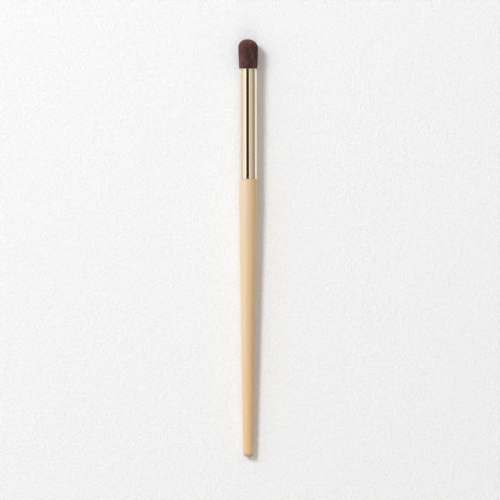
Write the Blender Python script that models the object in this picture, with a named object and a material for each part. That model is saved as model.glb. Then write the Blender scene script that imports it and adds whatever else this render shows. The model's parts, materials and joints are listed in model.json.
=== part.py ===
"""Blending brush: a turned wooden handle, a drawn metal ferrule and a domed tuft of bristles.

Lengths are in metres. Each piece is turned about its local Z axis, which runs from the handle's butt, at
zero, to the tip of the tuft. The parent empty then lays that axis along +Y, as the brush lies on a table.
"""
import math

import bmesh
import bpy
import numpy as np

# Handle
HANDLE_LENGTH = 0.10986
BELLY_SWELL = 0.00012
BELLY_FROM_FERRULE = 0.006
BELLY_ROUNDING = 0.004
BUTT_DIAMETER = 0.0042
BUTT_DOME_HEIGHT = 0.0019
BUTT_FLAT_DIAMETER = 0.001
SHOULDER_ROUND = 0.00015
TENON_CHAMFER = 0.0004
BELLY_RINGS = 4
DOME_RINGS = 6
SHOULDER_STEPS = 2

# Ferrule
FERRULE_DIAMETER = 0.0072
FERRULE_LENGTH = 0.04345
FERRULE_WALL = 0.00025
LIP_HEIGHT = 0.00065
LIP_INSET = 0.00005
LIP_RISE = 0.00025
LIP_STEPS = 6
GROOVE_DEPTH = 0.00005
GROOVE_HALF_WIDTH = 0.00012

# Bristles
BRISTLE_LENGTH = 0.01164
TUFT_SWELL = 0.00034
TUFT_WIDEST_HEIGHT = 0.0082
NECK_INSET = 0.000075
NECK_HEIGHT = 0.0007
TUFT_DOME_POWER = 2.0
STRAND_COUNT = 320
STRAND_SIDES = 3
STRAND_FILL_SHARE = 0.92
INNER_STRAND_SHARE = 0.75
STRAND_SEED = 7
ROOT_SLICE_DEPTH = 0.003
ROOT_SLICE_THICKNESS = 0.0015

# Bonding inside the ferrule, with an empty space between the tenon and the resin
RESIN_LENGTH = 0.0062
SPACE_LENGTH = 0.0188
BINDING_HEIGHT = 0.0016
BINDING_DEPTH = 0.0015
BINDING_THICKNESS = 0.0004
BINDING_ARC_STEPS = 4
GLUE_THICKNESS = 0.00025

# Clearances
SEAT_GAP = 0.00005
FIT_GAP = 0.00005
HAIR_GAP = 0.00002

# Facets round the axis, a multiple of four so that flats face down, up and to both sides
SIDES = 20
SMOOTH_ANGLE = math.radians(35)
FACET = math.cos(math.pi / SIDES)

FERRULE_BASE = HANDLE_LENGTH + SEAT_GAP
MOUTH = FERRULE_BASE + FERRULE_LENGTH
FERRULE_RADIUS = FERRULE_DIAMETER / 2
BORE_RADIUS = FERRULE_RADIUS - FERRULE_WALL
LIP_BORE_RADIUS = BORE_RADIUS - LIP_INSET
BELLY_RADIUS = FERRULE_RADIUS + BELLY_SWELL
TUFT_RADIUS = FERRULE_RADIUS + TUFT_SWELL
NECK_RADIUS = FERRULE_RADIUS - NECK_INSET
TENON_RADIUS = BORE_RADIUS - FIT_GAP - GLUE_THICKNESS - FIT_GAP
ROOT_RADIUS = BORE_RADIUS - FIT_GAP
ROOT_TOP = MOUTH - ROOT_SLICE_DEPTH
ROOT_BASE = ROOT_TOP - ROOT_SLICE_THICKNESS
RESIN_TOP = ROOT_BASE - FIT_GAP
RESIN_BASE = RESIN_TOP - RESIN_LENGTH
TENON_END = RESIN_BASE - SPACE_LENGTH


def clear_scene():
    """Takes every object out of the open scene."""
    for old in list(bpy.data.objects):
        bpy.data.objects.remove(old, do_unlink=True)


def principled(name, colour, roughness, metallic=0.0):
    """A plain surface of one colour."""
    material = bpy.data.materials.new(name)
    material.use_nodes = True
    shader = material.node_tree.nodes["Principled BSDF"]
    shader.inputs["Base Color"].default_value = (*colour, 1.0)
    shader.inputs["Roughness"].default_value = roughness
    shader.inputs["Metallic"].default_value = metallic
    return material


def place(name, mesh, material, axis):
    """One named object on the brush's axis, shaded smooth but for its sharp edges."""
    mesh.shade_smooth()
    mesh.set_sharp_from_angle(angle=SMOOTH_ANGLE)
    mesh.materials.append(material)
    piece = bpy.data.objects.new(name, mesh)
    bpy.context.scene.collection.objects.link(piece)
    piece.parent = axis
    return piece


def turned_mesh(name, outline, closed=False):
    """Spins an outline of (radius, height) points once round the Z axis.

    A closed outline makes a tube. An open one makes a solid, whose two ends are flat discs.
    """
    turn = math.tau / SIDES
    start = turn / 2
    work = bmesh.new()
    points = [work.verts.new((r * math.cos(start), r * math.sin(start), z)) for r, z in outline]
    edges = [work.edges.new(pair) for pair in zip(points, points[1:])]
    if closed:
        edges.append(work.edges.new((points[-1], points[0])))
    bmesh.ops.spin(work, geom=points + edges, axis=(0, 0, 1), cent=(0, 0, 0), angle=math.tau,
                   steps=SIDES, use_merge=True)
    bmesh.ops.holes_fill(work, edges=[edge for edge in work.edges if edge.is_boundary], sides=0)
    bmesh.ops.recalc_face_normals(work, faces=work.faces)
    mesh = bpy.data.meshes.new(name)
    work.to_mesh(mesh)
    work.free()
    return mesh


def arc(centre, reach, start, end, steps):
    """Points of an ellipse's arc, from start to end in radians; reach is (radial, axial)."""
    angles = np.linspace(start, end, steps + 1)
    return [(centre[0] + reach[0] * math.cos(a), centre[1] + reach[1] * math.sin(a)) for a in angles]


def handle_outline():
    """From the butt's small flat over its dome and up the taper to the belly, shoulder and tenon.

    The taper is straight, so that the brush lies on the whole of it, and rounds into the belly as a parabola.
    """
    butt = BUTT_DIAMETER / 2
    flat = BUTT_FLAT_DIAMETER / 2
    belly_at = HANDLE_LENGTH - BELLY_FROM_FERRULE
    dome = arc((flat, BUTT_DOME_HEIGHT), (butt - flat, BUTT_DOME_HEIGHT), -math.pi / 2, 0, DOME_RINGS)
    slope = (BELLY_RADIUS - butt) / (belly_at - BUTT_DOME_HEIGHT - BELLY_ROUNDING / 2)
    rounding = [(BELLY_RADIUS - slope * BELLY_ROUNDING / 2 * t * t, belly_at - BELLY_ROUNDING * t)
                for t in np.linspace(1, 0, BELLY_RINGS + 1)]
    swell_length = BELLY_FROM_FERRULE - SHOULDER_ROUND
    crown = [(FERRULE_RADIUS + BELLY_SWELL * math.cos(t * math.pi / 2), belly_at + swell_length * t)
             for t in np.linspace(0, 1, BELLY_RINGS + 1)]
    corner = (FERRULE_RADIUS - SHOULDER_ROUND, HANDLE_LENGTH - SHOULDER_ROUND)
    shoulder = arc(corner, (SHOULDER_ROUND, SHOULDER_ROUND), 0, math.pi / 2, SHOULDER_STEPS)
    tenon = [
        (TENON_RADIUS, HANDLE_LENGTH),
        (TENON_RADIUS, TENON_END - TENON_CHAMFER),
        (TENON_RADIUS - TENON_CHAMFER, TENON_END),
    ]
    return dome + rounding + crown[1:] + shoulder[1:] + tenon


def ferrule_outline():
    """Up the outside past a fine groove, over the curled mouth edge and down the bore."""
    groove_at = MOUTH - LIP_HEIGHT
    lip_half = (FERRULE_RADIUS - LIP_BORE_RADIUS) / 2
    lip_centre = (FERRULE_RADIUS - lip_half, MOUTH - LIP_RISE)
    outside = [
        (FERRULE_RADIUS, FERRULE_BASE),
        (FERRULE_RADIUS, groove_at - GROOVE_HALF_WIDTH),
        (FERRULE_RADIUS - GROOVE_DEPTH, groove_at),
        (FERRULE_RADIUS, groove_at + GROOVE_HALF_WIDTH),
    ]
    curl = arc(lip_centre, (lip_half, LIP_RISE), 0, math.pi, LIP_STEPS)
    inside = [
        (LIP_BORE_RADIUS, groove_at),
        (BORE_RADIUS, groove_at - LIP_INSET),
        (BORE_RADIUS, FERRULE_BASE),
    ]
    return outside + curl + inside


def resin_outline():
    """A plug that fills the bore under the bristles, with a waist where the thread lies."""
    waist = ROOT_RADIUS - BINDING_THICKNESS - FIT_GAP
    waist_top = RESIN_TOP - BINDING_DEPTH
    waist_base = waist_top - BINDING_HEIGHT
    return [
        (ROOT_RADIUS, RESIN_BASE),
        (ROOT_RADIUS, waist_base),
        (waist, waist_base),
        (waist, waist_top),
        (ROOT_RADIUS, waist_top),
        (ROOT_RADIUS, RESIN_TOP),
    ]


def binding_outline():
    """A band of thread with rounded edges, in the resin's waist."""
    inner = ROOT_RADIUS - BINDING_THICKNESS
    top = RESIN_TOP - BINDING_DEPTH - FIT_GAP
    base = RESIN_TOP - BINDING_DEPTH - BINDING_HEIGHT + FIT_GAP
    half = BINDING_THICKNESS / 2
    middle = inner + half
    upper = arc((middle, top - half), (half, half), 0, math.pi, BINDING_ARC_STEPS)
    lower = arc((middle, base + half), (half, half), math.pi, math.tau, BINDING_ARC_STEPS)
    return upper + lower


def glue_outline():
    """A sleeve between the tenon and the bore."""
    outer = BORE_RADIUS - FIT_GAP
    inner = TENON_RADIUS + FIT_GAP
    base = FERRULE_BASE + FIT_GAP
    top = TENON_END - TENON_CHAMFER
    return [(outer, base), (outer, top), (inner, top), (inner, base)]


def strand_layout():
    """Centres of the strands in a disc of radius 1, and the radius of a strand that touches no other.

    Strand i of n lies at the root of (i + 1/2) / n from the middle, a golden angle on from the last.
    """
    index = np.arange(STRAND_COUNT)
    golden = math.pi * (3 - math.sqrt(5))
    reach = np.sqrt((index + 0.5) / STRAND_COUNT)
    centres = reach[:, None] * np.stack([np.cos(index * golden), np.sin(index * golden)], axis=1)
    apart = np.linalg.norm(centres[:, None] - centres[None], axis=2)
    closest = apart[~np.eye(STRAND_COUNT, dtype=bool)].min()
    radius = STRAND_FILL_SHARE * closest / 2
    return centres / (1 + radius), radius / (1 + radius)


def strand_bundle_mesh(name):
    """All the strands, each a tapered rod of few sides that ends blunt on the dome.

    Every cross-section of the bundle is the same layout at another scale, so that no strands cross.
    Only the outer strands follow the neck's swell; the inner ones run straight up to the widest ring.
    """
    centres, radius = strand_layout()
    reach = np.linalg.norm(centres, axis=1)
    root = LIP_BORE_RADIUS * FACET - HAIR_GAP
    dome_height = BRISTLE_LENGTH - TUFT_WIDEST_HEIGHT
    fall = (1 - reach ** TUFT_DOME_POWER) ** (1 / TUFT_DOME_POWER)
    tips = MOUTH + TUFT_WIDEST_HEIGHT + dome_height * fall
    turns = np.random.default_rng(STRAND_SEED).uniform(0, math.tau, STRAND_COUNT)
    corner_angles = turns[:, None] + np.arange(STRAND_SIDES) * math.tau / STRAND_SIDES
    corners = np.stack([np.cos(corner_angles), np.sin(corner_angles)], axis=2) * radius
    sections = centres[:, None] + corners
    verts = []
    faces = []
    for strand, section in enumerate(sections):
        rings = [
            (root, ROOT_BASE + ROOT_SLICE_THICKNESS / 2),
            (root, MOUTH),
            (NECK_RADIUS, MOUTH + NECK_HEIGHT),
            (TUFT_RADIUS, MOUTH + TUFT_WIDEST_HEIGHT),
            (TUFT_RADIUS, tips[strand]),
        ]
        if reach[strand] < INNER_STRAND_SHARE:
            del rings[2]
        first = len(verts)
        for scale, height in rings:
            verts += [(x * scale, y * scale, height) for x, y in section]
        for ring in range(len(rings) - 1):
            low = first + ring * STRAND_SIDES
            for side in range(STRAND_SIDES):
                after = (side + 1) % STRAND_SIDES
                faces.append((low + side, low + after, low + STRAND_SIDES + after, low + STRAND_SIDES + side))
        last = len(verts) - STRAND_SIDES
        faces.append([first + side for side in reversed(range(STRAND_SIDES))])
        faces.append([last + side for side in range(STRAND_SIDES)])
    mesh = bpy.data.meshes.new(name)
    mesh.from_pydata(verts, [], faces)
    return mesh


def make_bristle_tuft(axis):
    """The strands, fused to a slice of the bonded roots."""
    brown = principled("brown_bristle", (0.075, 0.034, 0.028), 0.75)
    bundle = place("strand_bundle", strand_bundle_mesh("strand_bundle"), brown, axis)
    bundle.hide_render = True
    bundle.display_type = "WIRE"
    slice_outline = [(ROOT_RADIUS, ROOT_BASE), (ROOT_RADIUS, ROOT_TOP)]
    tuft = place("bristle_tuft", turned_mesh("bristle_tuft", slice_outline), brown, axis)
    fuse = tuft.modifiers.new("fuse_strands", "BOOLEAN")
    fuse.operation = "UNION"
    fuse.solver = "EXACT"
    fuse.object = bundle


def resting_pose():
    """(tilt, height, shift) of the axis, for a brush that lies on its butt and on its belly.

    Each ring's lowest facet lies at (height along the axis, apothem). The tilt is the steepest line from the
    butt's widest ring to a ring further up, so that the brush rests on those two and no ring lies lower.
    """
    tuft = [
        (NECK_RADIUS, MOUTH + NECK_HEIGHT),
        (TUFT_RADIUS, MOUTH + TUFT_WIDEST_HEIGHT),
        (0.0, MOUTH + BRISTLE_LENGTH),
    ]
    rings = np.array(handle_outline() + ferrule_outline() + tuft)
    apothem = rings[:, 0] * FACET
    along = rings[:, 1]
    further = along > BUTT_DOME_HEIGHT + BUTT_DIAMETER
    slopes = (apothem[further] - BUTT_DIAMETER / 2 * FACET) / (along[further] - BUTT_DOME_HEIGHT)
    tilt = math.atan(slopes.max())
    lowest = along * math.sin(tilt) - apothem * math.cos(tilt)
    low_edge = along * math.cos(tilt) + apothem * math.sin(tilt)
    high_edge = along * math.cos(tilt) - apothem * math.sin(tilt)
    ends = np.concatenate([low_edge, high_edge])
    return tilt, -lowest.min(), -(ends.min() + ends.max()) / 2


def lay_axis():
    """The empty that carries the brush: its Z axis along +Y, tipped up towards the tuft."""
    tilt, height, shift = resting_pose()
    axis = bpy.data.objects.new("brush_axis", None)
    bpy.context.scene.collection.objects.link(axis)
    axis.location = (0, shift, height)
    axis.rotation_euler = (tilt - math.pi / 2, 0, 0)
    return axis


def main():
    clear_scene()
    axis = lay_axis()
    wood = principled("pale_lacquered_wood", (0.78, 0.56, 0.33), 0.4)
    gilt = principled("pale_gold_anodised", (0.9, 0.76, 0.56), 0.15, 1.0)
    resin = principled("clear_amber_resin", (0.55, 0.36, 0.14), 0.3)
    thread = principled("cotton_thread", (0.72, 0.68, 0.6), 0.9)
    glue = principled("white_glue", (0.82, 0.8, 0.74), 0.5)
    place("handle", turned_mesh("handle", handle_outline()), wood, axis)
    place("ferrule", turned_mesh("ferrule", ferrule_outline(), closed=True), gilt, axis)
    make_bristle_tuft(axis)
    place("root_binding", turned_mesh("root_binding", binding_outline(), closed=True), thread, axis)
    place("resin_plug", turned_mesh("resin_plug", resin_outline()), resin, axis)
    place("tenon_glue", turned_mesh("tenon_glue", glue_outline(), closed=True), glue, axis)


main()
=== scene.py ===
"""Blending brush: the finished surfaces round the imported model.

A turned, lacquered wooden handle, a polished pale gold ferrule and a domed tuft of fine brown bristles, lying
on white paper. Lengths are in metres. A station is a distance along the brush's axis from the end of its butt
towards the tip of its tuft.
"""
import json
import math

import bpy
import numpy as np
from bpy.props import FloatProperty, FloatVectorProperty, IntProperty, PointerProperty
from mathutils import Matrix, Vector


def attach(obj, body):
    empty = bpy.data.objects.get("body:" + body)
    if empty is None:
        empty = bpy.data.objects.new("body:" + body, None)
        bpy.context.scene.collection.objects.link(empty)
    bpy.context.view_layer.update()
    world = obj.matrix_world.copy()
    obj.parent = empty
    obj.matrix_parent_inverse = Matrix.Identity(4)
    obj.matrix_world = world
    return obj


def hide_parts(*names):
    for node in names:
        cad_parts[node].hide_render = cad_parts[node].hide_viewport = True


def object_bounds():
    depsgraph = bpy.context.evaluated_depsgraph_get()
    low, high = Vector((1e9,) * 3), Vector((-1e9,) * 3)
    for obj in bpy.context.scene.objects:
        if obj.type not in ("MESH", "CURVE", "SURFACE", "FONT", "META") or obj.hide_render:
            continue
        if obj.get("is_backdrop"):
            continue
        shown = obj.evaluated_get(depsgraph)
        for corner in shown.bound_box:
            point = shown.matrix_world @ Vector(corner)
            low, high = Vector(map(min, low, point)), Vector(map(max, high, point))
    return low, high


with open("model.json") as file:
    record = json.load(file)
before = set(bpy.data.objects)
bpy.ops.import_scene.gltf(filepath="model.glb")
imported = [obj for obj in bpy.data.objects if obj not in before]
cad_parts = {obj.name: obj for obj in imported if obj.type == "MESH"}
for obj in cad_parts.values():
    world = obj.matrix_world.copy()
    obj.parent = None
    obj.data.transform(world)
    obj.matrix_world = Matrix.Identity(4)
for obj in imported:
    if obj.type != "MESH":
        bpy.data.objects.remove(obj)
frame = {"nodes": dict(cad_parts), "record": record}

bl_info = {
    "name": "Blending Brush",
    "version": (1, 0, 0),
    "blender": (4, 5, 0),
    "location": "3D View > Sidebar > Brush",
    "description": "Makes a blending brush and the paper and light that it is shown with",
    "category": "Add Mesh",
}

# The brush's own axes: the butt's middle, the way along to the tip, to the right, and under the brush
BUTT = next(mount for mount in frame["record"]["mounts"] if mount["name"] == "butt_end")
BUTT_PLACE = np.array(BUTT["pos_m"])
ALONG = -np.array(BUTT["axis"]) / np.linalg.norm(BUTT["axis"])
RIGHT = np.array([1.0, 0.0, 0.0])
UNDER = np.cross(ALONG, RIGHT)
TILT = math.asin(ALONG[2])

# Height over the ferrule's mouth, and the tuft's radius there, up to where it is widest
TUFT_OUTLINE = (
    (-0.0044, 0.00320), (-0.0012, 0.00322), (-0.00025, 0.00328), (0.0, 0.00342), (0.00015, 0.00352),
    (0.0004, 0.00358), (0.0009, 0.00363), (0.0017, 0.00369), (0.0025, 0.00374), (0.0033, 0.00379),
    (0.0041, 0.00385), (0.0050, 0.00389), (0.0065, 0.00391), (0.0082, 0.00392),
)
# Angle from straight up towards the right, in degrees, and how bright the studio is there beside the brush
STUDIO_BRIGHTNESS = (
    (-90, 0.02), (-82.4, 0.02), (-81, 0.95), (-55, 0.95), (-49, 0.86), (-43, 0.86), (-40, 1.27),
    (-26.7, 1.27), (-24.7, 0.05), (9.9, 0.05), (11.2, 1.02), (16, 0.93), (23, 0.76), (29, 0.70),
    (42, 0.63), (56, 0.49), (67, 0.43), (77.4, 0.42), (78.8, 0.04), (90, 0.04),
)
# The same for the studio beyond the butt
FAR_BRIGHTNESS = (
    (-90, 0.17), (-32, 0.29), (-20, 0.65), (-9, 1.56), (0, 1.96), (9, 1.50), (20, 0.58), (32, 0.28),
    (90, 0.21),
)
# Powers that the brightness beside the brush is raised to for red, green and blue: its dim parts are warmer
WARMTH = (1.0, 1.24, 1.6)
NEUTRAL = (1.0, 1.0, 1.0)
# The stops of a colour ramp end at 1, so the studio's hold shares of this brightness
FULL_BRIGHTNESS = 2.0

# Sides of the pieces that are spun round the axis
HANDLE_SIDES = 128
FERRULE_SIDES = 160
ROOTS_SIDES = 96

# The fibres' rings: heights over the mouth of the lower ones, and shares of the way from there to the tip
LOW_RINGS = np.array([-0.0044, -0.0003, 0.0001, 0.0004, 0.0013, 0.0024, 0.0035, 0.0048])
UPPER_RINGS = np.array([0.36, 0.64, 0.86, 1.0])
FIBRE_SIDES = 3
# Share of the tuft's radius that a fibre's tip leans inwards by
INWARD_LEAN = 0.15
# Where the fibres' chance numbers start, and how many pieces the fibres are dealt out to
FIBRE_SEED = 5
FIBRE_PIECES = 3
# From one turn of the thread to the next
THREAD_PITCH = 0.0004

# The way from the brush to the lamp, and the camera's place to the right and towards the tip
KEY_DIRECTION = (-0.62, 0.58, 1.0)
CAMERA_PLACE = (0.00067, -0.000655)
# How far the paper lies under the brush's lowest point
PAPER_GAP = 0.00001


class HandleSizes(bpy.types.PropertyGroup):
    """The wooden handle."""

    length: FloatProperty(name="Length", description="Butt to shoulder, without the tenon",
                          default=0.10986, unit="LENGTH")
    belly_diameter: FloatProperty(name="Belly diameter", description="At the widest place",
                                  default=0.00744, unit="LENGTH")
    belly_from_ferrule: FloatProperty(name="Belly from ferrule", description="Widest place to shoulder",
                                      default=0.006, unit="LENGTH")
    belly_rounding: FloatProperty(name="Belly rounding", description="Where the taper rounds into the belly",
                                  default=0.004, unit="LENGTH")
    shoulder_diameter: FloatProperty(name="Shoulder diameter", description="Where the ferrule starts",
                                     default=0.0072, unit="LENGTH")
    butt_diameter: FloatProperty(name="Butt diameter", description="Where the rounded end starts",
                                 default=0.0042, unit="LENGTH")
    dome_height: FloatProperty(name="Dome height", description="Height of the rounded end",
                               default=0.0019, unit="LENGTH")
    flat_diameter: FloatProperty(name="Flat diameter", description="The small flat that it stands on",
                                 default=0.001, unit="LENGTH")
    tenon_diameter: FloatProperty(name="Tenon diameter", description="The part inside the ferrule",
                                  default=0.006, unit="LENGTH")
    tenon_length: FloatProperty(name="Tenon length", description="How far it goes into the ferrule",
                                default=0.01395, unit="LENGTH")
    wood: FloatVectorProperty(name="Wood", description="Colour of the lacquered wood",
                              default=(0.80, 0.57, 0.34), size=3, subtype="COLOR", min=0, max=1)


class FerruleSizes(bpy.types.PropertyGroup):
    """The metal tube."""

    length: FloatProperty(name="Length", description="Base to mouth", default=0.04345, unit="LENGTH")
    base_station: FloatProperty(name="Base station", description="Where its base stands on the shoulder",
                                default=0.10991, unit="LENGTH")
    diameter: FloatProperty(name="Diameter", description="Outside", default=0.0072, unit="LENGTH")
    wall: FloatProperty(name="Wall", description="Thickness of the tube", default=0.00025, unit="LENGTH")
    lip_height: FloatProperty(name="Lip height", description="Rolled band at the mouth",
                              default=0.00065, unit="LENGTH")
    lip_swell: FloatProperty(name="Lip swell", description="How far the rolled band bulges",
                             default=0.000004, unit="LENGTH")
    groove_depth: FloatProperty(name="Groove depth", description="Fine line under the rolled band",
                                default=0.000012, unit="LENGTH")
    metal: FloatVectorProperty(name="Metal", description="Colour of the anodised metal",
                               default=(0.95, 0.83, 0.67), size=3, subtype="COLOR", min=0, max=1)


class BristleSizes(bpy.types.PropertyGroup):
    """The tuft of fibres."""

    height: FloatProperty(name="Height", description="Mouth of the ferrule to the top of the dome",
                          default=0.01164, unit="LENGTH")
    widest_height: FloatProperty(name="Widest height", description="Mouth of the ferrule to the dome's foot",
                                 default=0.0082, unit="LENGTH")
    fibres: IntProperty(name="Fibres", description="How many fibres the tuft has", default=3600, min=300)
    clumps: IntProperty(name="Clumps", description="How many locks the fibres gather in",
                        default=210, min=10)
    fibre_diameter: FloatProperty(name="Fibre diameter", description="Below its fine tip",
                                  default=0.00012, unit="LENGTH")
    gathering: FloatProperty(name="Gathering", description="How far a lock closes up at its tip",
                             default=0.35, min=0, max=1, subtype="FACTOR")
    top_offset: FloatProperty(name="Top offset", description="How far left the dome's top is, as a share",
                              default=0.095, min=0, max=0.4)
    dark: FloatVectorProperty(name="Dark fibres", description="Colour of the darkest fibres",
                              default=(0.050, 0.0165, 0.0145), size=3, subtype="COLOR", min=0, max=1)
    light: FloatVectorProperty(name="Light fibres", description="Colour of the lightest fibres",
                               default=(0.30, 0.118, 0.104), size=3, subtype="COLOR", min=0, max=1)


class StudioSettings(bpy.types.PropertyGroup):
    """The paper, the light and the camera."""

    paper: FloatVectorProperty(name="Paper", description="Colour of the paper", default=(0.91, 0.91, 0.91),
                               size=3, subtype="COLOR", min=0, max=1)
    paper_size: FloatProperty(name="Paper size", description="Side of the sheet", default=6.0, unit="LENGTH")
    key_light: FloatVectorProperty(name="Key light", description="Share of the paper's light from the lamp",
                                   default=(0.392, 0.412, 0.438), size=3, subtype="COLOR", min=0, max=1)
    key_distance: FloatProperty(name="Key distance", description="From the brush to the lamp", default=1.7,
                                unit="LENGTH")
    key_width: FloatProperty(name="Key width", description="How wide the lamp looks from the brush",
                             default=math.radians(17), subtype="ANGLE")
    walls: FloatVectorProperty(name="Walls", description="Colour of the studio's walls at the horizon",
                               default=(0.40, 0.39, 0.38), size=3, subtype="COLOR", min=0, max=1)
    camera_height: FloatProperty(name="Camera height", description="Over the paper", default=1.6486,
                                 unit="LENGTH")
    camera_roll: FloatProperty(name="Camera roll", description="Turn of the picture", default=-0.0008,
                               subtype="ANGLE")
    lens: FloatProperty(name="Lens", description="Focal length in millimetres", default=300, unit="CAMERA")


# Shapes

def on_brush(right, under, station):
    """Points at the given distances to the right of the axis, under it and along it.

    A point is the butt's middle plus each distance times the direction that it is measured in.
    """
    parts = np.broadcast_arrays(right, under, station)
    return BUTT_PLACE + sum(part[..., None] * axis for part, axis in zip(parts, (RIGHT, UNDER, ALONG)))


def curve_through(points, at):
    """A smooth curve through (along, across) points, read at the given places along.

    Between two points it is the cubic whose slope at each point is the average slope around that point.
    Beyond the last point it stays level.
    """
    along, across = np.array(points).T
    at = np.clip(at, along[0], along[-1])
    slope = np.gradient(across, along)
    span = np.clip(np.searchsorted(along, at, side="right") - 1, 0, len(along) - 2)
    width = along[span + 1] - along[span]
    t = (at - along[span]) / width
    rise = across[span + 1] - across[span]
    bend = t * (1 - t) * ((1 - t) * slope[span] - t * slope[span + 1]) * width
    return across[span] + rise * t * t * (3 - 2 * t) + bend


def smooth_step(low, high, at):
    """0 below low, 1 above high, and 3t^2 - 2t^3 at share t of the way between."""
    t = np.clip((at - low) / (high - low), 0, 1)
    return t * t * (3 - 2 * t)


def rows(radius, station):
    """Rows of (radius, station) for an outline."""
    return np.stack(np.broadcast_arrays(radius, station), axis=-1)


def arc(centre, reach, start, end, steps):
    """An ellipse's arc: centre plus reach times the cosine outwards and the sine along."""
    angle = np.radians(np.linspace(start, end, steps + 1))
    return rows(centre[0] + reach[0] * np.cos(angle), centre[1] + reach[1] * np.sin(angle))


def new_piece(name, points, faces, sharp_degrees, finish):
    """A mesh object in the brush's place that rides on the model, with its finish.

    Edges whose faces meet at more than the given angle stay sharp.
    """
    mesh = bpy.data.meshes.new(name)
    mesh.from_pydata(points, [], faces)
    mesh.shade_smooth()
    mesh.set_sharp_from_angle(angle=math.radians(sharp_degrees))
    mesh.materials.append(finish)
    piece = bpy.data.objects.new(name, mesh)
    bpy.context.scene.collection.objects.link(piece)
    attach(piece, "root")
    return piece


def turned(outline, sides, closed=False):
    """Points and faces of an outline of (radius, station) rows spun round the brush's axis.

    A row at angle a lies radius times cos a to the right of the axis and radius times sin a under it. A
    closed outline goes up outside and down inside and makes a tube. An open one starts and ends on the axis,
    where its end rows shrink to one point each.
    """
    radius, station = (outline if closed else outline[1:-1]).T
    angle = np.linspace(0, math.tau, sides, endpoint=False)
    grid = on_brush(np.outer(radius, np.cos(angle)), np.outer(radius, np.sin(angle)), station[:, None])
    index = np.arange(len(radius) * sides).reshape(-1, sides)
    beside = np.roll(index, -1, axis=1)
    if closed:
        low, high = slice(None), np.roll(np.arange(len(radius)), -1)
    else:
        low, high = slice(0, -1), slice(1, None)
    faces = np.stack([index[low], beside[low], beside[high], index[high]], axis=-1).reshape(-1, 4).tolist()
    points = grid.reshape(-1, 3)
    if not closed:
        first, last = len(points), len(points) + 1
        ends = on_brush(0.0, 0.0, outline[[0, -1], 1])
        points = np.concatenate([points, ends])
        faces += np.stack([np.full(sides, first), beside[0], index[0]], axis=-1).tolist()
        faces += np.stack([np.full(sides, last), index[-1], beside[-1]], axis=-1).tolist()
    return points, faces


def handle_outline(size):
    """From the butt's flat over its dome and up the taper to the belly, the shoulder and the tenon.

    The dome is a quarter of an ellipse. The taper is straight and rounds into the belly as a parabola. From
    there the radius falls to the shoulder's as the cosine of a quarter turn.
    """
    belly, butt, flat = size.belly_diameter / 2, size.butt_diameter / 2, size.flat_diameter / 2
    shoulder, tenon = size.shoulder_diameter / 2, size.tenon_diameter / 2
    belly_at = size.length - size.belly_from_ferrule
    tenon_end = size.length + size.tenon_length
    rounding, chamfer, corner_edge = 0.00015, 0.0004, 0.0001
    dome = arc((flat, size.dome_height), (butt - flat, size.dome_height), -90, 0, 24)
    slope = (belly - butt) / (belly_at - size.dome_height - size.belly_rounding / 2)
    far = np.linspace(0, belly_at - size.belly_rounding - size.dome_height, 61)
    taper = rows(butt + slope * far, size.dome_height + far)
    t = np.linspace(1, 0, 17)
    rounding_up = rows(belly - slope * size.belly_rounding / 2 * t ** 2, belly_at - size.belly_rounding * t)
    t = np.linspace(0, 1, 25)
    crown = rows(shoulder + (belly - shoulder) * np.cos(t * math.pi / 2),
                 belly_at + (size.length - rounding - belly_at) * t)
    corner = arc((shoulder - rounding, size.length - rounding), (rounding, rounding), 0, 90, 6)
    inside = np.array([
        (tenon + corner_edge, size.length), (tenon, size.length + corner_edge),
        (tenon, tenon_end - chamfer - corner_edge), (tenon, tenon_end - chamfer),
        (tenon - chamfer, tenon_end), (0, tenon_end),
    ])
    return np.concatenate([rows(0, dome[:1, 1]), dome, taper[1:], rounding_up[1:], crown[1:], corner[1:],
                           inside])


def ferrule_outline(size):
    """Up the outside over a fine groove and the rolled band, round the mouth's edge and down the bore.

    The groove is a bell curve taken off the radius. The band bulges as half a sine wave, and the mouth's edge
    is half an ellipse.
    """
    outer, bore = size.diameter / 2, size.diameter / 2 - size.wall
    mouth = size.base_station + size.length
    groove_at = mouth - size.lip_height
    edge, curl_height, clear_of_ends = 0.00005, 0.00016, 0.001
    groove_below, groove_above, groove_spread = 0.0003, 0.00025, 0.00008
    lip_bore = bore - edge
    base = arc((outer - edge, size.base_station + edge), (edge, edge), -90, 0, 6)
    tube = rows(outer, np.concatenate([
        [size.base_station + 3 * edge],
        np.linspace(size.base_station + clear_of_ends, groove_at - clear_of_ends, 24),
    ]))
    across = np.linspace(-groove_below, groove_above, 23)
    groove = rows(outer - size.groove_depth * np.exp(-(across / groove_spread) ** 2), groove_at + across)
    t = np.linspace(0, 1, 10)[1:-1]
    band = rows(outer + size.lip_swell * np.sin(t * math.pi),
                groove_at + groove_above + (size.lip_height - groove_above - curl_height) * t)
    half = (outer - lip_bore) / 2
    curl = arc((outer - half, mouth - curl_height), (half, curl_height), 0, 180, 20)
    inside = np.array([
        (lip_bore, groove_at + edge), (bore, groove_at - edge), (bore, groove_at - 3 * edge),
        (bore, size.base_station + 2 * edge), (bore, size.base_station),
    ])
    return np.concatenate([base, tube, groove, band, curl, inside])


def spread_in_disc(count):
    """Places spread evenly in a disc of radius 1.

    Place i of n lies at the square root of (i + 1/2) / n from the middle, a golden angle on from the last.
    """
    index = np.arange(count)
    reach = np.sqrt((index + 0.5) / count)
    angle = index * math.pi * (3 - math.sqrt(5))
    return reach[:, None] * np.stack([np.cos(angle), np.sin(angle)], axis=1)


def root_outline(radius, low, high):
    """A plug with rounded edges: two flat ends, and a straight side between two quarter circles."""
    edge = 0.00015
    lower = arc((radius - edge, low + edge), (edge, edge), -90, 0, 6)
    upper = arc((radius - edge, high - edge), (edge, edge), 0, 90, 6)
    return np.concatenate([rows(0, lower[:1, 1]), lower, upper, rows(0, upper[-1:, 1])])


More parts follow.
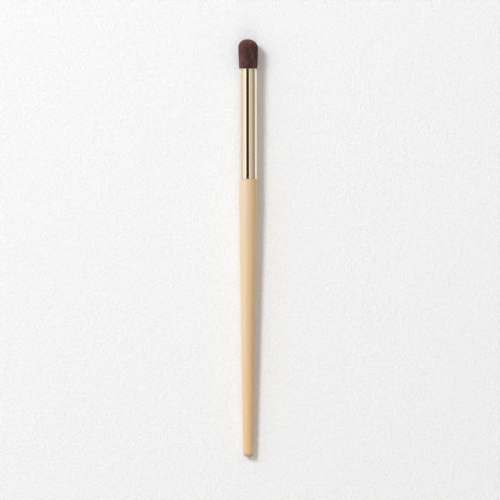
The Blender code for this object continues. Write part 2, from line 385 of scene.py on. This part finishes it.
def gathered_fibres(size, rng):
    """Places of the fibres' roots and tips in a disc of radius 1, the tips' distances, and the fibres' locks.

    Roots and locks are spread evenly and shifted by chance. A fibre belongs to the nearest lock. Its tip is
    its root's place, moved towards the lock's middle by the gathering share and swayed by chance.
    """
    root_shift, lock_shift, lock_sway, own_sway = 0.25, 0.3, 0.022, 0.012
    root = spread_in_disc(size.fibres)
    root += rng.normal(0, root_shift / math.sqrt(size.fibres), root.shape)
    root /= np.maximum(1, np.linalg.norm(root, axis=1, keepdims=True))
    middle = spread_in_disc(size.clumps)
    middle += rng.normal(0, lock_shift / math.sqrt(size.clumps), middle.shape)
    lock = np.linalg.norm(root[:, None] - middle[None], axis=2).argmin(axis=1)
    middle = middle[lock] / np.maximum(1, np.linalg.norm(middle[lock], axis=1, keepdims=True))
    sway = rng.normal(0, lock_sway, (size.clumps, 2))[lock] + rng.normal(0, own_sway, root.shape)
    tip = root + (middle - root) * size.gathering + sway
    reach = np.minimum(np.linalg.norm(tip, axis=1), 1)
    tip *= (reach / np.linalg.norm(tip, axis=1))[:, None]
    return root, tip, reach, lock


def fibre_heights(size, tip_place, reach, lock, rng):
    """Height of each fibre's tip over the mouth, and those of all its rings.

    A tip lies on half an ellipsoid whose top is a little to the left, up or down by chance for its lock and
    for itself, but never far out of the dome.
    """
    lock_mean, lock_uneven, own_uneven = -0.00009, 0.00018, 0.00013
    deepest, furthest_out = -0.0007, 0.00012
    uneven = rng.normal(lock_mean, lock_uneven, size.clumps)[lock] + rng.normal(0, own_uneven, size.fibres)
    to_top = np.array([size.top_offset, 0]) * (1 - reach[:, None] ** 2)
    from_top = np.minimum(np.linalg.norm(tip_place + to_top, axis=1), 1)
    dome = size.height - size.widest_height
    tip = size.widest_height + dome * np.sqrt(1 - ((1 - INWARD_LEAN) * from_top) ** 2)
    tip = np.minimum(tip + np.clip(uneven, deepest, furthest_out), size.height)[:, None]
    low = np.tile(LOW_RINGS, (size.fibres, 1))
    upper = LOW_RINGS[-1] + (tip - LOW_RINGS[-1]) * UPPER_RINGS
    return tip, np.concatenate([low, upper], axis=1)


def fibre_tufts(size, mouth, rng):
    """Points (fibre, ring, side, 3) of all fibres, with each fibre's shade and its height share at each ring.

    A fibre keeps its share of the tuft's radius as the outline swells, and goes over from its root's place
    to its tip's in a smooth step. Each lock also sways round the axis in a slow sine wave of its own. In its
    last stretch a fibre thins, and leans inwards with the tenth power of the way up, so that the outer
    fibres make the dome's sides.
    """
    gathered_at, swaying_from, leaning_from = 0.009, 0.003, 0.005
    swing_spread, slowest, fastest = 0.07, 350, 700
    thinning_from, thinned = 0.55, 0.72
    mean_shade, lock_shade, own_shade = 0.42, 0.26, 0.16
    root, tip_place, reach, lock = gathered_fibres(size, rng)
    tip, height = fibre_heights(size, tip_place, reach, lock, rng)

    swing = rng.normal(0, swing_spread, size.clumps)[lock][:, None]
    start = rng.uniform(0, math.tau, size.clumps)[lock][:, None]
    bends = rng.uniform(slowest, fastest, size.clumps)[lock][:, None]
    turn = swing * np.sin(start + bends * height) * smooth_step(0, swaying_from, height)
    risen = smooth_step(0.0, gathered_at, height)[..., None]
    place = root[:, None] * (1 - risen) + tip_place[:, None] * risen
    place = np.stack([place[..., 0] * np.cos(turn) - place[..., 1] * np.sin(turn),
                      place[..., 0] * np.sin(turn) + place[..., 1] * np.cos(turn)], axis=-1)
    leaning = np.clip((height - leaning_from) / (tip - leaning_from), 0, 1)
    thick = size.fibre_diameter / 2 * (1 - thinned * smooth_step(thinning_from, 1.0, height / tip))
    radius = (curve_through(TUFT_OUTLINE, height) - thick) * (1 - INWARD_LEAN * leaning ** 10)
    centre = place * radius[..., None]

    angle = rng.uniform(0, math.tau, size.fibres)[:, None] + np.arange(FIBRE_SIDES) * math.tau / FIBRE_SIDES
    ring = np.stack([np.cos(angle), -np.sin(angle)], axis=-1)
    across = centre[:, :, None] + ring[:, None] * thick[..., None, None]
    points = on_brush(across[..., 0], across[..., 1], mouth + height[..., None])
    shade = mean_shade + rng.normal(0, lock_shade, size.clumps)[lock] + rng.normal(0, own_shade, size.fibres)
    return points, np.clip(shade, 0, 1), np.clip(height / size.height, 0, 1)


def tube_faces(fibres, rings, sides):
    """Faces of tubes whose points are numbered by fibre, then ring, then side, with both ends closed."""
    index = np.arange(fibres * rings * sides).reshape(fibres, rings, sides)
    beside = np.roll(index, -1, axis=2)
    walls = np.stack([index[:, :-1], index[:, 1:], beside[:, 1:], beside[:, :-1]], axis=-1)
    return walls.reshape(-1, 4).tolist() + index[:, 0].tolist() + index[:, -1, ::-1].tolist()


# Finishes

class Value:
    """A shader socket that takes Python arithmetic: each operation adds its Math node."""

    def __init__(self, paint, socket):
        self.paint = paint
        self.socket = socket

    def _math(self, operation, first, second):
        return self.paint.node("ShaderNodeMath", {"operation": operation}, {0: first, 1: second})

    def __add__(self, other):
        return self._math("ADD", self, other)

    def __radd__(self, other):
        return self._math("ADD", other, self)

    def __sub__(self, other):
        return self._math("SUBTRACT", self, other)

    def __rsub__(self, other):
        return self._math("SUBTRACT", other, self)

    def __mul__(self, other):
        return self._math("MULTIPLY", self, other)

    def __rmul__(self, other):
        return self._math("MULTIPLY", other, self)

    def __pow__(self, other):
        return self._math("POWER", self, other)

    def __rpow__(self, other):
        return self._math("POWER", other, self)


class Paint:
    """The node tree of a material or a world while it is being made."""

    def __init__(self, owner, shader):
        owner.use_nodes = True
        self.owner = owner
        self.tree = owner.node_tree
        self.shader = self.tree.nodes[shader]

    def node(self, kind, settings=None, inputs=None, output=0):
        """Adds a node with its settings, then the values or links of its sockets, and gives one output."""
        node = self.tree.nodes.new(kind)
        for name, value in (settings or {}).items():
            if name == "stops":
                self.set_stops(node.color_ramp, value)
            else:
                setattr(node, name, value)
        self.feed(node, inputs or {})
        return Value(self, node.outputs[output])

    def set_stops(self, ramp, stops):
        """Gives a ramp its (place, colour) stops."""
        while len(ramp.elements) < len(stops):
            ramp.elements.new(1.0)
        for element, (place, colour) in zip(ramp.elements, stops):
            element.position = place
            element.color = colour

    def feed(self, node, inputs):
        """Links a socket where it is given a Value, and sets it where it is given a number or colour."""
        for name, value in inputs.items():
            if isinstance(value, Value):
                self.tree.links.new(value.socket, node.inputs[name])
            else:
                node.inputs[name].default_value = value

    def set(self, **sockets):
        """Feeds the surface shader's sockets, whose names are written with underscores."""
        self.feed(self.shader, {name.replace("_", " "): value for name, value in sockets.items()})

    def place_on_brush(self):
        """Where a point is on the brush: to the right, along from the butt, and over the axis."""
        turned_butt = (0.0, -float(BUTT_PLACE @ ALONG), float(BUTT_PLACE @ UNDER))
        seen = self.node("ShaderNodeTexCoord", output="Object")
        return self.node("ShaderNodeMapping", {"vector_type": "POINT"},
                         {"Vector": seen, "Rotation": (-TILT, 0, 0), "Location": turned_butt})

    def stretched(self, place, per_metre):
        """A place whose three directions are counted in features per metre."""
        return self.node("ShaderNodeVectorMath", {"operation": "MULTIPLY"}, {0: place, 1: per_metre})

    def noise(self, place, per_metre, detail=2.0):
        """Cloudy noise between 0 and 1, with the given number of features per metre each way."""
        return self.node("ShaderNodeTexNoise", None,
                         {"Vector": self.stretched(place, per_metre), "Scale": 1.0, "Detail": detail})

    def parts(self, place):
        """A place's three parts."""
        first = self.node("ShaderNodeSeparateXYZ", None, {0: place})
        return [Value(self, output) for output in first.socket.node.outputs]

    def step(self, value, low, high):
        """0 where the value is at low, 1 where it is at high, and smooth between them."""
        return self.node("ShaderNodeMapRange", {"interpolation_type": "SMOOTHSTEP"},
                         {"Value": value, "From Min": low, "From Max": high})

    def blend(self, amount, first, second):
        """The first colour where the amount is 0 and the second where it is 1."""
        return self.node("ShaderNodeMix", {"data_type": "RGBA"}, {0: amount, 6: first, 7: second}, output=2)

    def brighten(self, colour, amount):
        """A colour times an amount."""
        return self.node("ShaderNodeVectorMath", {"operation": "SCALE"}, {0: colour, "Scale": amount})

    def relief(self, height, depth, strength=1.0):
        """A normal for a surface whose height goes from 0 to 1 over the given depth."""
        return self.node("ShaderNodeBump", None,
                         {"Height": height, "Distance": depth, "Strength": strength})


def warmed(brightness, powers):
    """A brightness as a ramp's red, green and blue. Under 1, each is raised to its own power."""
    return [brightness / FULL_BRIGHTNESS * min(brightness, 1.0) ** (power - 1) for power in powers]


def rgba(colour, tint=NEUTRAL):
    """A colour with its alpha, with its red, green and blue each times the tint's."""
    return (*(min(1.0, channel * factor) for channel, factor in zip(colour, tint)), 1.0)


def new_finish(name):
    """An empty finish, ready to be fed."""
    return Paint(bpy.data.materials.new(name), "Principled BSDF")


def lacquered_wood(colour):
    """Pale straight-grained wood under a satin lacquer.

    Growth rings are a sine wave of the distance from a pith outside the handle, fibres are noise drawn out
    along it, and short dark flecks are the vessels. Painted light makes the wood paler and whiter on the lit
    left side, more so near the ferrule, and painted shade makes it yellower on the shaded right. It darkens a
    little towards the butt, and its end grain on the dome more.
    """
    paint = new_finish("lacquered_wood")
    place = paint.place_on_brush()
    right, along, over = paint.parts(place)
    drift = paint.noise(place, (70, 14, 70), 1.0)
    pith_left, pith_over, ring_width, wander = 0.012, 0.009, 0.0019, 9.0
    beside, above = right + pith_left, over - pith_over
    from_pith = (beside * beside + above * above) ** 0.5
    rings = paint.node("ShaderNodeMath", {"operation": "SINE"},
                       {0: from_pith * (math.tau / ring_width) + drift * wander})
    fibres = paint.noise(place, (5200, 70, 5200), 3.0)
    streaks = paint.noise(place, (1500, 28, 1500))
    flecks = paint.step(paint.noise(place, (6500, 520, 6500), 1.0), 0.66, 0.76)
    clouds = paint.noise(place, (260, 46, 260))
    tone = 1.0 + rings * 0.018 + (fibres - 0.5) * 0.10 + (streaks - 0.5) * 0.11 + (clouds - 0.5) * 0.07
    tone = tone * (1.0 - flecks * 0.09)
    towards_butt = paint.step(along, 0.100, 0.004)
    end_grain = paint.step(along, 0.0016, 0.0005)
    # Painted light and shade: the lit left side gets a paler, whiter copy of the wood, paler still near the
    # ferrule, and the shaded right a yellower, darker one
    side = paint.step(right, -0.0032, 0.0032)
    by_ferrule = paint.step(along, 0.076, 0.106)
    left = paint.blend(by_ferrule, rgba(colour, (1.0, 1.07, 1.18)), rgba(colour, (1.0, 1.10, 1.33)))
    wood = paint.blend(side, left, rgba(colour, (0.97, 0.90, 0.78)))
    wood = paint.node("ShaderNodeMix", {"data_type": "RGBA", "blend_type": "MULTIPLY"},
                      {0: towards_butt, 6: wood, 7: (0.96, 0.89, 0.75, 1)}, output=2)
    wood = paint.blend(end_grain, wood, rgba(colour, (0.72, 0.50, 0.33)))
    paint.set(Base_Color=paint.brighten(wood, tone), Roughness=0.40 + (clouds - 0.5) * 0.14,
              Specular_IOR_Level=0.5, Coat_Weight=1.0, Coat_IOR=1.6, Coat_Roughness=0.4,
              Normal=paint.relief(fibres + flecks * -0.8, 0.000006, 0.5))
    return paint.owner


def gold_metal(colour, groove_station):
    """Drawn aluminium, polished and anodised pale gold, with fine polishing lines round the tube.

    The lines are noise packed along the axis. Painted shade darkens the groove under the rolled band, which
    is also rougher.
    """
    # Reach of the painted shade in the groove: where it ends and where it is whole
    groove_shade_ends, groove_shade_whole = 0.00016, 0.00004
    paint = new_finish("gold_metal")
    place = paint.place_on_brush()
    along = paint.parts(place)[1]
    lines = paint.noise(place, (160, 26000, 160))
    haze = paint.noise(place, (420, 150, 420))
    # Painted shade: the metal is darker in the groove under the rolled band, and rougher there too
    from_groove = paint.node("ShaderNodeMath", {"operation": "ABSOLUTE"}, {0: along - groove_station})
    painted_groove_shade = paint.step(from_groove, groove_shade_ends, groove_shade_whole)
    metal = paint.blend(painted_groove_shade * 0.4, rgba(colour), rgba(colour, (0.42, 0.42, 0.42)))
    paint.set(Base_Color=paint.brighten(metal, 0.985 + haze * 0.03), Metallic=1.0,
              Roughness=0.045 + lines * 0.03 + haze * 0.03 + painted_groove_shade * 0.15,
              Normal=paint.relief(lines, 0.0000015, 0.2))
    return paint.owner


def bristle(dark, light, dome_foot):
    """Brown fibres, each with its own tone. Painted shade darkens them at the foot, and a painted highlight
    pales the left side and more its edge. Their fine tips are redder in their own colour, and paler by
    painted light on the dome's top.

    Light meets the packed fibres much as it would a solid tuft, so the normal is mostly the tuft's: away from
    the axis, and on the dome also towards the tip.
    """
    tuft_share, dome_share = 0.7, 1.3
    paint = new_finish("bristle")
    shade = paint.node("ShaderNodeAttribute", {"attribute_name": "shade"}, output="Fac")
    height = paint.node("ShaderNodeAttribute", {"attribute_name": "height_share"}, output="Fac")
    place = paint.place_on_brush()
    along_fibre = paint.noise(place, (9000, 900, 9000))
    along_lock = paint.noise(place, (3100, 420, 3100))
    # Partly painted light: the tips are paler where light falls on the dome's top, and redder in their own
    # colour
    tip = paint.step(height, 0.61, 0.94)
    # Painted shade: the fibres are darker at the foot, just over the mouth
    foot = paint.step(height, 0.10, 0.02)
    right, along, over = paint.parts(place)
    # Painted highlight: the left side is paler, and paler still along its edge
    left, painted_rim_highlight = paint.step(right, 0.0004, -0.0036), paint.step(right, -0.0013, -0.0034)
    amount = shade * 0.72 + tip * 0.62 - foot * 0.14 + (along_fibre - 0.5) * 0.3 + (along_lock - 0.5) * 1.6
    amount = amount + left * 0.16 + painted_rim_highlight * 0.58 - 0.055
    light = paint.blend(tip, rgba(light), rgba(light, (1.06, 0.86, 0.79)))
    rise = paint.node("ShaderNodeMath", {"operation": "MAXIMUM"}, {0: along - dome_foot, 1: 0.0})
    away = paint.node("ShaderNodeCombineXYZ", None, {"X": right, "Y": rise * dome_share, "Z": over})
    away = paint.node("ShaderNodeVectorMath", {"operation": "NORMALIZE"}, {0: away})
    own = paint.node("ShaderNodeNewGeometry", output="Normal")
    normal = paint.node("ShaderNodeMix", {"data_type": "VECTOR"}, {0: tuft_share, 4: own, 5: away},
                        output=1)
    normal = paint.node("ShaderNodeVectorMath", {"operation": "NORMALIZE"}, {0: normal})
    paint.set(Base_Color=paint.blend(amount, rgba(dark), light), Roughness=0.38, Specular_IOR_Level=0.5,
              Normal=normal)
    return paint.owner


def bonded_fibres():
    """The fibres' roots soaked in resin: dark dots of the fibres' ends, drawn out along the sides."""
    paint = new_finish("bonded_fibres")
    place = paint.place_on_brush()
    fibres = paint.noise(place, (9000, 120, 9000))
    soaked = paint.noise(place, (700, 300, 700))
    colour = paint.blend(paint.step(fibres, 0.42, 0.58), (0.035, 0.016, 0.010, 1), (0.16, 0.085, 0.04, 1))
    paint.set(Base_Color=paint.brighten(colour, 0.8 + soaked * 0.4), Roughness=0.25 + soaked * 0.2,
              Normal=paint.relief(fibres, 0.00002, 0.5))
    return paint.owner


def cotton_thread():
    """Off-white thread, wound side by side, with a twist, and painted shade in the hollows between its turns.
    """
    paint = new_finish("cotton_thread")
    place = paint.place_on_brush()
    along = paint.parts(place)[1]
    turns = paint.node("ShaderNodeMath", {"operation": "SINE"}, {0: along * (math.tau / THREAD_PITCH)})
    twist = paint.noise(place, (5200, 9500, 5200), 3.0)
    # Painted shade: the thread is darker in the hollows between its turns
    tone = 0.80 + turns * 0.10 + twist * 0.16
    paint.set(Base_Color=paint.brighten((0.72, 0.68, 0.60), tone), Roughness=0.88,
              Normal=paint.relief(turns * 0.5 + twist * 0.5, 0.00006, 0.8))
    return paint.owner


def amber_resin():
    """Cured clear resin among the fibres' roots, darker where it is thick."""
    paint = new_finish("amber_resin")
    place = paint.place_on_brush()
    roots = paint.noise(place, (3800, 60, 3800))
    depth = paint.noise(place, (500, 300, 500), 3.0)
    colour = paint.blend(roots * 0.7, (0.55, 0.36, 0.14, 1), (0.24, 0.13, 0.06, 1))
    paint.set(Base_Color=paint.brighten(colour, 0.85 + depth * 0.3), Roughness=0.18 + depth * 0.2,
              Coat_Weight=0.4, Coat_Roughness=0.1, Normal=paint.relief(depth, 0.00005, 0.4))
    return paint.owner


def wood_glue():
    """Dried white glue, wiped and slightly uneven."""
    paint = new_finish("wood_glue")
    place = paint.place_on_brush()
    wiped = paint.noise(place, (900, 350, 900), 4.0)
    specks = paint.step(paint.noise(place, (4200, 4200, 4200), 1.0), 0.62, 0.70)
    colour = paint.blend(wiped, (0.84, 0.82, 0.76, 1), (0.72, 0.68, 0.58, 1))
    paint.set(Base_Color=paint.brighten(colour, 1.0 - specks * 0.12), Roughness=0.42 + wiped * 0.2,
              Normal=paint.relief(wiped, 0.00008, 0.6))
    return paint.owner


def plain_paper(colour):
    """White drawing paper with a soft tooth."""
    paint = new_finish("plain_paper")
    place = paint.node("ShaderNodeTexCoord", output="Object")
    tooth = paint.noise(place, (1400, 1050, 1050), 1.0)
    grain = paint.noise(place, (480, 420, 420))
    paint.set(Base_Color=paint.brighten(colour, 0.90 + tooth * 0.20), Roughness=0.9, Specular_IOR_Level=0.2,
              Normal=paint.relief(tooth * 0.5 + grain * 0.5, 0.0004))
    return paint.owner


# Operators, one for each piece or group of like pieces and one for the stage

class MakeHandle(bpy.types.Operator):
    """Turn the handle with its tenon and lacquer it"""

    bl_idname = "brush.make_handle"
    bl_label = "Handle"

    def execute(self, context):
        size = context.scene.brush_handle
        points, faces = turned(handle_outline(size), HANDLE_SIDES)
        piece = new_piece("turned_handle", points, faces, 40, lacquered_wood(size.wood))
        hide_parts("handle")
        return {"FINISHED"}


class MakeFerrule(bpy.types.Operator):
    """Draw the ferrule's tube with its groove and rolled mouth and polish it"""

    bl_idname = "brush.make_ferrule"
    bl_label = "Ferrule"

    def execute(self, context):
        size = context.scene.brush_ferrule
        points, faces = turned(ferrule_outline(size), FERRULE_SIDES, closed=True)
        groove_station = size.base_station + size.length - size.lip_height
        piece = new_piece("drawn_ferrule", points, faces, 50, gold_metal(size.metal, groove_station))
        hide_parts("ferrule")
        return {"FINISHED"}


class MakeBristles(bpy.types.Operator):
    """Grow the tuft's fibres, in locks that end on the dome"""

    bl_idname = "brush.make_bristles"
    bl_label = "Bristles"

    def execute(self, context):
        size, ferrule = context.scene.brush_bristles, context.scene.brush_ferrule
        mouth = ferrule.base_station + ferrule.length
        points, shade, height = fibre_tufts(size, mouth, np.random.default_rng(FIBRE_SEED))
        finish = bristle(size.dark, size.light, mouth + size.widest_height)
        for part in range(FIBRE_PIECES):
            own = slice(part, None, FIBRE_PIECES)
            grid = points[own].shape[:3]
            piece = new_piece(f"bristles_{part + 1}", points[own].reshape(-1, 3), tube_faces(*grid), 150,
                              finish)
            self.note(piece, "shade", np.broadcast_to(shade[own, None, None], grid))
            self.note(piece, "height_share", np.broadcast_to(height[own, :, None], grid))
            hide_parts("bristle_tuft")
        gap_to_bore, foot_below_mouth, top_below_mouth = 0.00005, 0.0045, 0.003
        roots = root_outline(ferrule.diameter / 2 - ferrule.wall - gap_to_bore, mouth - foot_below_mouth,
                             mouth - top_below_mouth)
        points, faces = turned(roots, ROOTS_SIDES)
        piece = new_piece("bonded_roots", points, faces, 40, bonded_fibres())
        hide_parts("bristle_tuft")
        return {"FINISHED"}

    def note(self, piece, name, values):
        """Keeps one number for each point of a piece."""
        kept = piece.data.attributes.new(name, "FLOAT", "POINT")
        kept.data.foreach_set("value", np.ascontiguousarray(values, np.float32).ravel())


class FinishBonding(bpy.types.Operator):
    """Give the thread, the resin and the glue inside the ferrule their finishes"""

    bl_idname = "brush.finish_bonding"
    bl_label = "Bonding"

    def execute(self, context):
        finishes = {"root_binding": cotton_thread(), "resin_plug": amber_resin(), "tenon_glue": wood_glue()}
        for node, finish in finishes.items():
            mesh = frame["nodes"][node].data
            mesh.materials.clear()
            mesh.materials.append(finish)
        return {"FINISHED"}


class MakeStage(bpy.types.Operator):
    """Lay the paper under the brush and set up the light and the camera"""

    bl_idname = "brush.make_stage"
    bl_label = "Stage"

    def execute(self, context):
        studio = context.scene.brush_studio
        self.lay_paper(studio)
        self.hang_key_light(studio)
        self.set_up_soft_boxes(studio)
        self.place_camera(context.scene, studio)
        context.scene.view_settings.view_transform = "Standard"
        return {"FINISHED"}

    def lay_paper(self, studio):
        """A square sheet just under the brush's lowest point."""
        half, level = studio.paper_size / 2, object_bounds()[0][2] - PAPER_GAP
        across = np.array([(-1, -1), (1, -1), (1, 1), (-1, 1)]) * half
        mesh = bpy.data.meshes.new("paper")
        mesh.from_pydata(np.column_stack([across, np.full(4, level)]), [], [(0, 1, 2, 3)])
        mesh.materials.append(plain_paper(studio.paper))
        paper = bpy.data.objects.new("paper", mesh)
        bpy.context.scene.collection.objects.link(paper)
        paper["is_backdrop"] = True

    def hang_key_light(self, studio):
        """A round soft lamp, high on the upper left.

        At a distance d a lamp of P watts that faces the brush puts P cos a / (pi d)^2 of full brightness on
        level white paper, where a is its angle from straight up.
        """
        towards = np.array(KEY_DIRECTION)
        towards /= np.linalg.norm(towards)
        strongest = max(studio.key_light)
        lamp = bpy.data.lights.new("key_light", "AREA")
        lamp.shape = "DISK"
        lamp.size = 2 * studio.key_distance * math.tan(studio.key_width / 2)
        lamp.energy = strongest * (math.pi * studio.key_distance) ** 2 / towards[2]
        lamp.color = [channel / strongest for channel in studio.key_light]
        key = bpy.data.objects.new("key_light", lamp)
        key.location = towards * studio.key_distance
        key.rotation_euler = (math.acos(towards[2]), 0, math.atan2(towards[0], -towards[1]))
        key.visible_glossy = False
        bpy.context.scene.collection.objects.link(key)

    def set_up_soft_boxes(self, studio):
        """Soft boxes to the left and the right, dark overhead where the camera stands.

        A direction's brightness follows its angle from straight up towards the right, by STUDIO_BRIGHTNESS
        but for the part beyond the butt, where it goes by FAR_BRIGHTNESS. Plain walls stand at the horizon.
        A direction has length 1, so the limits below are shares of it along the brush and upwards.
        """
        beyond_from, beyond_to = -0.24, -0.34
        walls_top, walls_whole = 0.075, 0.05
        world = bpy.data.worlds.new("soft_boxes")
        bpy.context.scene.world = world
        paint = Paint(world, "Background")
        seen = paint.node("ShaderNodeTexCoord", output="Generated")
        right, along, up = paint.parts(seen)
        angle = paint.node("ShaderNodeMath", {"operation": "ARCTAN2"}, {0: right, 1: up})
        turn = angle * (1 / math.pi) + 0.5
        beside, beyond = [
            paint.node("ShaderNodeValToRGB", {"stops": [
                (0.5 + degrees / 180, (*warmed(brightness, powers), 1.0)) for degrees, brightness in table
            ]}, {0: turn})
            for table, powers in ((STUDIO_BRIGHTNESS, WARMTH), (FAR_BRIGHTNESS, NEUTRAL))
        ]
        boxes = paint.blend(paint.step(along, beyond_from, beyond_to), beside, beyond)
        boxes = paint.brighten(boxes, FULL_BRIGHTNESS)
        boxes = paint.blend(paint.step(up, walls_top, walls_whole), boxes, rgba(studio.walls))
        paint.set(Color=boxes, Strength=1.0)

    def place_camera(self, scene, studio):
        """Straight over the brush, with the picture's top towards the tuft."""
        lens = bpy.data.cameras.new("camera")
        lens.lens = studio.lens
        lens.sensor_width = 36
        camera = bpy.data.objects.new("camera", lens)
        camera.location = (*CAMERA_PLACE, studio.camera_height)
        camera.rotation_euler = (0, 0, studio.camera_roll)
        scene.collection.objects.link(camera)
        scene.camera = camera


OPERATORS = (MakeHandle, MakeFerrule, MakeBristles, FinishBonding, MakeStage)
SETTINGS = {"brush_handle": HandleSizes, "brush_ferrule": FerruleSizes, "brush_bristles": BristleSizes,
            "brush_studio": StudioSettings}


class BrushPanel(bpy.types.Panel):
    """The brush's sizes and colours, with the operators that make its pieces"""

    bl_idname = "VIEW3D_PT_blending_brush"
    bl_label = "Blending Brush"
    bl_space_type = "VIEW_3D"
    bl_region_type = "UI"
    bl_category = "Brush"

    def draw(self, context):
        for name, group in SETTINGS.items():
            box = self.layout.box()
            for prop in group.__annotations__:
                box.prop(getattr(context.scene, name), prop)
        for operator in OPERATORS:
            self.layout.operator(operator.bl_idname)


def register():
    for kind in (*SETTINGS.values(), *OPERATORS, BrushPanel):
        bpy.utils.register_class(kind)
    for name, group in SETTINGS.items():
        setattr(bpy.types.Scene, name, PointerProperty(type=group))


def unregister():
    for name in SETTINGS:
        delattr(bpy.types.Scene, name)
    for kind in reversed((*SETTINGS.values(), *OPERATORS, BrushPanel)):
        bpy.utils.unregister_class(kind)


def main():
    """Makes every piece in order."""
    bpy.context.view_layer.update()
    register()
    bpy.ops.brush.make_handle()
    bpy.ops.brush.make_ferrule()
    bpy.ops.brush.make_bristles()
    bpy.ops.brush.finish_bonding()
    bpy.ops.brush.make_stage()


if __name__ == "__main__":
    main()
